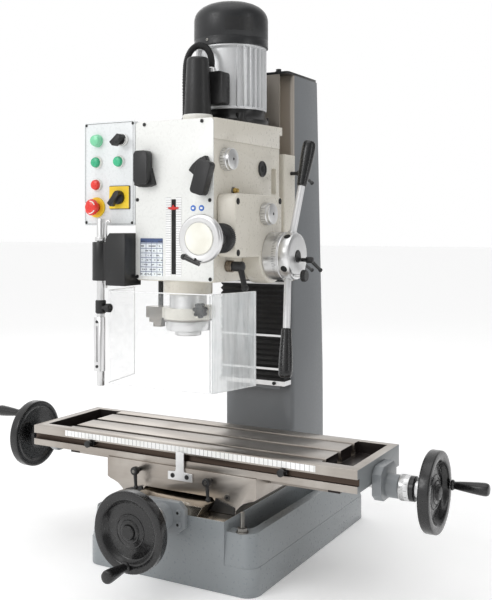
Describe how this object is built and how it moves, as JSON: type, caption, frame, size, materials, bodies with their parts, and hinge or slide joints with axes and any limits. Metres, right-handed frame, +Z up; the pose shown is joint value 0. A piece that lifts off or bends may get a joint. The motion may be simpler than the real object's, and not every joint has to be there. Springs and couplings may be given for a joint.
{
  "type": "benchtop milling machine",
  "caption": "Geared-head bench mill: dovetail column on a tray base, lifting and tilting head with motor, quill and swing guard, cross-slide table with T-slots and black handwheels.",
  "frame": {"origin": "middle of the base's underside", "axes": "+X right along the table, +Y from the operator to the column, +Z up"},
  "size_m": [1.193, 0.8065, 1.248],
  "materials": {
    "base_paint": "semi-gloss grey paint",
    "black_paint": "semi-gloss black paint",
    "clear_sheet": "clear bent sheet",
    "column_paint": "semi-gloss grey paint",
    "cream_paint": "semi-gloss cream paint",
    "dark_steel": "dark oiled steel",
    "green_plastic": "green push button",
    "ground_iron": "ground and oiled bare iron",
    "matte_black": "matt black moulding",
    "motor_alu": "cast and ribbed aluminium",
    "panel_white": "white front panel",
    "red_plastic": "red push button",
    "rubber_cloth": "pleated black way cover",
    "silver_steel": "satin turned steel",
    "wheel_plastic": "glossy black moulding",
    "white_plate": "satin white powder coat"
  },
  "bodies": {
    "base": {"base_casting": "base_paint", "column": "column_paint", "column_cap": "black_paint", "y_bracket": "base_paint", "bellows": "rubber_cloth"},
    "z_screw": {"z_screw": "dark_steel"},
    "y_screw": {"y_screw": "silver_steel", "y_handwheel": "wheel_plastic"},
    "y_grip": {"y_grip": "wheel_plastic"},
    "saddle": {"saddle": "ground_iron"},
    "saddle_lock_left": {"saddle_lock_left": "matte_black"},
    "saddle_lock_right": {"saddle_lock_right": "matte_black"},
    "table": {"table": "ground_iron", "x_bracket_right": "base_paint", "x_bracket_left": "base_paint"},
    "table_stop_left": {"table_stop_left": "dark_steel"},
    "table_stop_right": {"table_stop_right": "dark_steel"},
    "x_screw": {"x_screw": "silver_steel", "x_handwheel_right": "wheel_plastic", "x_handwheel_left": "wheel_plastic"},
    "x_grip_right": {"x_grip_right": "wheel_plastic"},
    "x_grip_left": {"x_grip_left": "wheel_plastic"},
    "carriage": {"carriage": "cream_paint"},
    "carriage_lock_upper": {"carriage_lock_upper": "matte_black"},
    "carriage_lock_lower": {"carriage_lock_lower": "matte_black"},
    "thumbscrew": {"thumbscrew": "matte_black"},
    "hub_lock": {"hub_lock": "matte_black"},
    "head": {"head_casting": "cream_paint", "head_lid": "cream_paint", "front_plate": "white_plate", "feed_box": "cream_paint", "drawbar_cover": "matte_black", "motor_flange": "black_paint", "motor_body": "motor_alu", "motor_fan_cover": "black_paint", "terminal_box": "matte_black", "motor_conduit": "rubber_cloth", "control_box": "panel_white", "guard_bracket": "black_paint"},
    "speed_lever_left": {"speed_lever_left": "matte_black"},
    "speed_lever_right": {"speed_lever_right": "matte_black"},
    "dial_front": {"dial_front": "silver_steel"},
    "dial_side": {"dial_side": "silver_steel"},
    "feed_hub": {"feed_hub": "silver_steel", "feed_grip_upper": "wheel_plastic", "feed_grip_lower": "wheel_plastic"},
    "fine_feed_wheel": {"fine_feed_wheel": "silver_steel"},
    "quill_lock": {"quill_lock": "matte_black"},
    "quill": {"quill": "silver_steel", "stop_collar": "cream_paint"},
    "star_knob": {"star_knob": "matte_black"},
    "spindle": {"spindle": "silver_steel"},
    "selector_switch": {"selector_switch": "matte_black"},
    "button_green_left": {"button_green_left": "green_plastic"},
    "button_green_right": {"button_green_right": "green_plastic"},
    "button_red": {"button_red": "red_plastic"},
    "emergency_stop": {"emergency_stop": "red_plastic"},
    "main_switch": {"main_switch": "matte_black"},
    "guard": {"guard_pole": "silver_steel", "guard_shield": "clear_sheet"}
  },
  "joints": [
    {"name": "z_screw_turn", "type": "hinge", "parent": "base", "child": "z_screw", "pos_m": [0, 0.124, 0.7], "axis": [0, 0, 1], "range_deg": [-5761, 13321]},
    {"name": "head_lift", "type": "slide", "parent": "base", "child": "carriage", "axis": [0, 0, 1], "range_m": [-0.08, 0.185], "deforming": ["bellows"]},
    {"name": "head_tilt", "type": "hinge", "parent": "carriage", "child": "head", "pos_m": [0, 0.045, 0.76], "axis": [0, 1, 0], "range_deg": [-15, 15]},
    {"name": "y_screw_turn", "type": "hinge", "parent": "base", "child": "y_screw", "pos_m": [0, -0.35, 0.138], "axis": [0, 1, 0], "range_deg": [-6121, 6121]},
    {"name": "saddle_slide", "type": "slide", "parent": "base", "child": "saddle", "axis": [0, 1, 0], "range_m": [-0.085, 0.085]},
    {"name": "y_grip_spin", "type": "hinge", "parent": "y_screw", "child": "y_grip", "pos_m": [0, -0.46, 0.074], "axis": [0, 1, 0], "continuous": true},
    {"name": "saddle_lock_left_turn", "type": "hinge", "parent": "saddle", "child": "saddle_lock_left", "pos_m": [-0.099, -0.262, 0.206], "axis": [0, 1, 0], "range_deg": [-60, 60]},
    {"name": "saddle_lock_right_turn", "type": "hinge", "parent": "saddle", "child": "saddle_lock_right", "pos_m": [0.08, -0.262, 0.206], "axis": [0, 1, 0], "range_deg": [-60, 60]},
    {"name": "x_screw_turn", "type": "hinge", "parent": "table", "child": "x_screw", "pos_m": [0.45, -0.13, 0.214], "axis": [1, 0, 0], "range_deg": [-14401, 14401]},
    {"name": "table_slide", "type": "slide", "parent": "saddle", "child": "table", "axis": [1, 0, 0], "range_m": [-0.2, 0.2]},
    {"name": "x_grip_right_spin", "type": "hinge", "parent": "x_screw", "child": "x_grip_right", "pos_m": [0.55, -0.0665, 0.214], "axis": [1, 0, 0], "continuous": true},
    {"name": "x_grip_left_spin", "type": "hinge", "parent": "x_screw", "child": "x_grip_left", "pos_m": [-0.55, -0.164, 0.268], "axis": [1, 0, 0], "continuous": true},
    {"name": "table_stop_left_slide", "type": "slide", "parent": "table", "child": "table_stop_left", "axis": [1, 0, 0], "range_m": [-0.1, 0.15]},
    {"name": "table_stop_right_slide", "type": "slide", "parent": "table", "child": "table_stop_right", "axis": [1, 0, 0], "range_m": [-0.15, 0.1]},
    {"name": "carriage_lock_upper_turn", "type": "hinge", "parent": "carriage", "child": "carriage_lock_upper", "pos_m": [0.115, 0.087, 0.856], "axis": [1, 0, 0], "range_deg": [-60, 60]},
    {"name": "carriage_lock_lower_turn", "type": "hinge", "parent": "carriage", "child": "carriage_lock_lower", "pos_m": [0.115, 0.087, 0.6455], "axis": [1, 0, 0], "range_deg": [-60, 60]},
    {"name": "speed_lever_left_turn", "type": "hinge", "parent": "head", "child": "speed_lever_left", "pos_m": [-0.067, -0.29, 0.848], "axis": [0, 1, 0], "range_deg": [-60, 60]},
    {"name": "speed_lever_right_turn", "type": "hinge", "parent": "head", "child": "speed_lever_right", "pos_m": [0.082, -0.29, 0.836], "axis": [0, 1, 0], "range_deg": [-60, 60]},
    {"name": "dial_front_turn", "type": "hinge", "parent": "head", "child": "dial_front", "pos_m": [0.108, -0.224, 0.87], "axis": [1, 0, 0], "continuous": true},
    {"name": "dial_side_turn", "type": "hinge", "parent": "head", "child": "dial_side", "pos_m": [0.15, -0.128, 0.757], "axis": [1, 0, 0], "continuous": true},
    {"name": "feed_turn", "type": "hinge", "parent": "head", "child": "feed_hub", "pos_m": [0.17, -0.09, 0.666], "axis": [1, 0, 0], "range_deg": [0, 270]},
    {"name": "thumbscrew_turn", "type": "hinge", "parent": "feed_hub", "child": "thumbscrew", "pos_m": [0.215, -0.109, 0.6254], "axis": [1, 0, 0], "continuous": true},
    {"name": "hub_lock_turn", "type": "hinge", "parent": "feed_hub", "child": "hub_lock", "pos_m": [0.215, -0.0693, 0.6576], "axis": [1, 0, 0], "range_deg": [-60, 60]},
    {"name": "quill_travel", "type": "slide", "parent": "head", "child": "quill", "axis": [0, 0, -1], "range_m": [0, 0.1151], "stiffness_N_per_m": 700, "springref_m": -0.25},
    {"name": "star_knob_turn", "type": "hinge", "parent": "quill", "child": "star_knob", "pos_m": [0.0585, -0.26, 0.5563], "axis": [0, 1, 0], "continuous": true},
    {"name": "spindle_turn", "type": "hinge", "parent": "quill", "child": "spindle", "pos_m": [0, -0.214, 0.6], "axis": [0, 0, 1], "continuous": true},
    {"name": "fine_feed_turn", "type": "hinge", "parent": "head", "child": "fine_feed_wheel", "pos_m": [0.12, -0.3, 0.7065], "axis": [0, 1, 0], "continuous": true},
    {"name": "quill_lock_turn", "type": "hinge", "parent": "head", "child": "quill_lock", "pos_m": [0.12, -0.214, 0.647], "axis": [1, 0, 0], "range_deg": [-50, 50]},
    {"name": "selector_turn", "type": "hinge", "parent": "head", "child": "selector_switch", "pos_m": [-0.129, -0.28, 0.917], "axis": [0, 1, 0], "range_deg": [-45, 45]},
    {"name": "button_green_left_press", "type": "slide", "parent": "head", "child": "button_green_left", "axis": [0, 1, 0], "range_m": [0, 0.004], "stiffness_N_per_m": 400, "springref_m": -0.002},
    {"name": "button_green_right_press", "type": "slide", "parent": "head", "child": "button_green_right", "axis": [0, 1, 0], "range_m": [0, 0.004], "stiffness_N_per_m": 400, "springref_m": -0.002},
    {"name": "button_red_press", "type": "slide", "parent": "head", "child": "button_red", "axis": [0, 1, 0], "range_m": [0, 0.004], "stiffness_N_per_m": 400, "springref_m": -0.002},
    {"name": "emergency_stop_press", "type": "slide", "parent": "head", "child": "emergency_stop", "axis": [0, 1, 0], "range_m": [0, 0.005], "stiffness_N_per_m": 800, "springref_m": -0.002},
    {"name": "main_switch_turn", "type": "hinge", "parent": "head", "child": "main_switch", "pos_m": [-0.138, -0.285, 0.793], "axis": [0, 1, 0], "range_deg": [0, 90]},
    {"name": "guard_swing", "type": "hinge", "parent": "head", "child": "guard", "pos_m": [-0.168, -0.3, 0.55], "axis": [0, 0, 1], "range_deg": [-30, 0]}
  ],
  "couplings": [
    {"joint": "z_screw_turn", "follows": "head_lift", "rad_per_m": 1256.6},
    {"joint": "y_screw_turn", "follows": "saddle_slide", "rad_per_m": 1256.6},
    {"joint": "x_screw_turn", "follows": "table_slide", "rad_per_m": 1256.6},
    {"joint": "quill_travel", "follows": "feed_turn", "m_per_rad": 0.0244}
  ]
}
